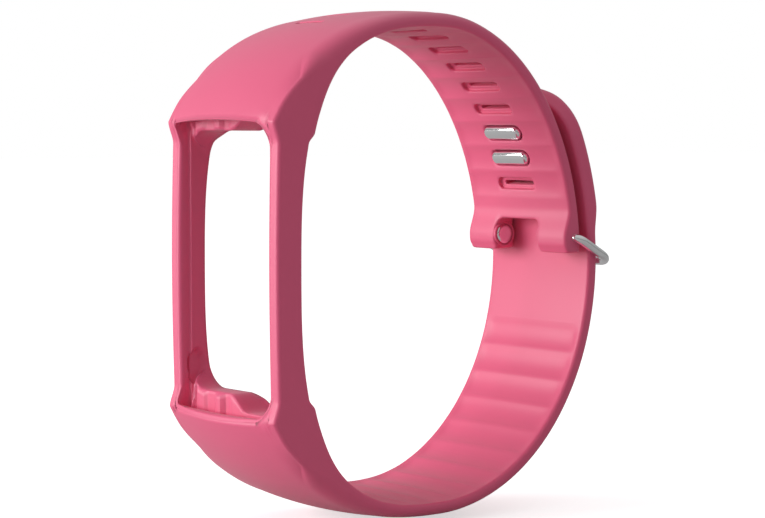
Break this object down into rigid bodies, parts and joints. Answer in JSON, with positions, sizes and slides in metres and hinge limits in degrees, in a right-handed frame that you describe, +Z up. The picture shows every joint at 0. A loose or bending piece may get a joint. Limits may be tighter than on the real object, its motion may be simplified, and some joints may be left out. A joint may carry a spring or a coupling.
{
  "type": "fitness tracker band",
  "caption": "Silicone wristband with an open cradle for a slim tracker module, closed by a twin-stud clasp and a wire ring.",
  "frame": {"origin": "middle of the wrist hollow, which is the wrist mount", "axes": "+X across the band, along the forearm, out of the near side; -Y is the front, where the tracker sits, and +Y the clasp; +Z is up, from the lower strap to the upper strap"},
  "size_m": [0.0232, 0.0532, 0.0612],
  "materials": {
    "silicone": "satin moulded silicone, bright pink",
    "steel": "mirror-polished stainless steel"
  },
  "bodies": {
    "cradle": {"tracker_frame": "silicone"},
    "button": {"button_pad": "silicone"},
    "upper_root": {"upper_strap_root": "silicone"},
    "upper_middle": {"upper_strap_middle": "silicone"},
    "upper_end": {"upper_strap_end": "silicone"},
    "ring": {"buckle_ring": "steel", "ring_cap_near": "steel", "ring_cap_far": "steel"},
    "lower_root": {"lower_strap_root": "silicone"},
    "lower_middle": {"lower_strap_middle": "silicone"},
    "lower_end": {"lower_strap_end": "silicone"},
    "tail": {"strap_tail": "silicone", "clasp_plate": "steel", "clasp_stud_upper": "steel", "clasp_stud_lower": "steel"}
  },
  "joints": [
    {"name": "button_press", "type": "slide", "parent": "cradle", "child": "button", "axis": [1, 0, 0], "range_m": [0, 0.0005], "stiffness_N_per_m": 1500},
    {"name": "upper_strap_open", "type": "hinge", "parent": "cradle", "child": "upper_root", "pos_m": [0, -0.01404, 0.02688], "axis": [1, 0, 0], "range_deg": [0, 30], "stiffness_Nm_per_rad": 0.15, "deforming": ["upper_strap_root"]},
    {"name": "upper_strap_bend", "type": "hinge", "parent": "upper_root", "child": "upper_middle", "pos_m": [0, 0.00347, 0.02901], "axis": [1, 0, 0], "range_deg": [0, 30], "stiffness_Nm_per_rad": 0.1, "deforming": ["upper_strap_middle"]},
    {"name": "upper_strap_curl", "type": "hinge", "parent": "upper_middle", "child": "upper_end", "pos_m": [0, 0.015, 0.0208], "axis": [1, 0, 0], "range_deg": [0, 30], "stiffness_Nm_per_rad": 0.1, "deforming": ["upper_strap_end"]},
    {"name": "ring_swing", "type": "hinge", "parent": "upper_end", "child": "ring", "pos_m": [0, 0.02051, 0.00274], "axis": [1, 0, 0], "range_deg": [-3, 12]},
    {"name": "lower_strap_open", "type": "hinge", "parent": "cradle", "child": "lower_root", "pos_m": [0, -0.01404, -0.02688], "axis": [-1, 0, 0], "range_deg": [0, 30], "stiffness_Nm_per_rad": 0.2, "deforming": ["lower_strap_root"]},
    {"name": "lower_strap_bend", "type": "hinge", "parent": "lower_root", "child": "lower_middle", "pos_m": [0, 0.00342, -0.0291], "axis": [-1, 0, 0], "range_deg": [0, 30], "stiffness_Nm_per_rad": 0.15, "deforming": ["lower_strap_middle"]},
    {"name": "lower_strap_curl", "type": "hinge", "parent": "lower_middle", "child": "lower_end", "pos_m": [0, 0.01797, -0.0194], "axis": [-1, 0, 0], "range_deg": [0, 30], "stiffness_Nm_per_rad": 0.15, "deforming": ["lower_strap_end"]},
    {"name": "tail_lift", "type": "hinge", "parent": "lower_end", "child": "tail", "pos_m": [0, 0.02379, 0.00307], "axis": [-1, 0, 0], "range_deg": [0, 75], "stiffness_Nm_per_rad": 0.05, "deforming": ["strap_tail"]}
  ],
  "couplings": [
    {"joint": "upper_strap_bend", "follows": "upper_strap_open", "ratio": 1},
    {"joint": "upper_strap_curl", "follows": "upper_strap_open", "ratio": 1},
    {"joint": "lower_strap_bend", "follows": "lower_strap_open", "ratio": 1},
    {"joint": "lower_strap_curl", "follows": "lower_strap_open", "ratio": 1}
  ]
}
